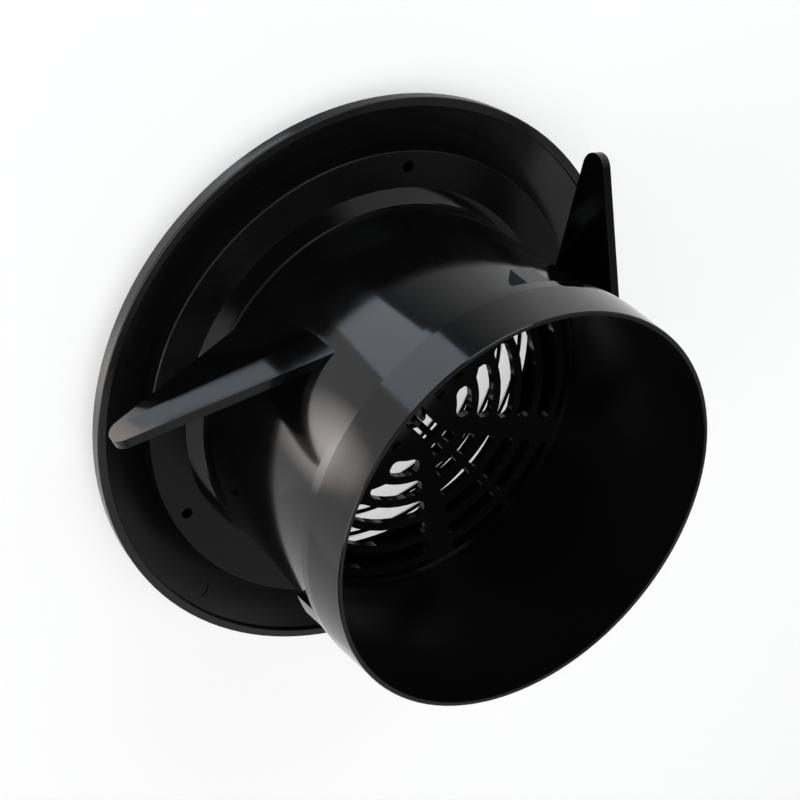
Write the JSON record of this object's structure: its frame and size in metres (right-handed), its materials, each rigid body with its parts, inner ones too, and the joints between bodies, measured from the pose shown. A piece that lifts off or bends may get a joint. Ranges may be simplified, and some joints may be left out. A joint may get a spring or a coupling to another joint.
{
  "type": "round soffit vent",
  "caption": "Round soffit vent with a lipped flange, a duct collar with a tapered band, tangential wings, a slotted guard grille and a snap-in front louvre.",
  "frame": {"origin": "centre of the flat border on the front, on which the vent stands", "axes": "+Z along the collar towards the duct; one screw hole lies on +Y"},
  "size_m": [0.1554, 0.152, 0.077],
  "materials": {
    "body_plastic": "glossy black moulded ABS",
    "front_plastic": "glossy black moulded ABS"
  },
  "bodies": {
    "root": {"vent_body": "body_plastic", "front_louvre": "front_plastic"}
  },
  "joints": []
}
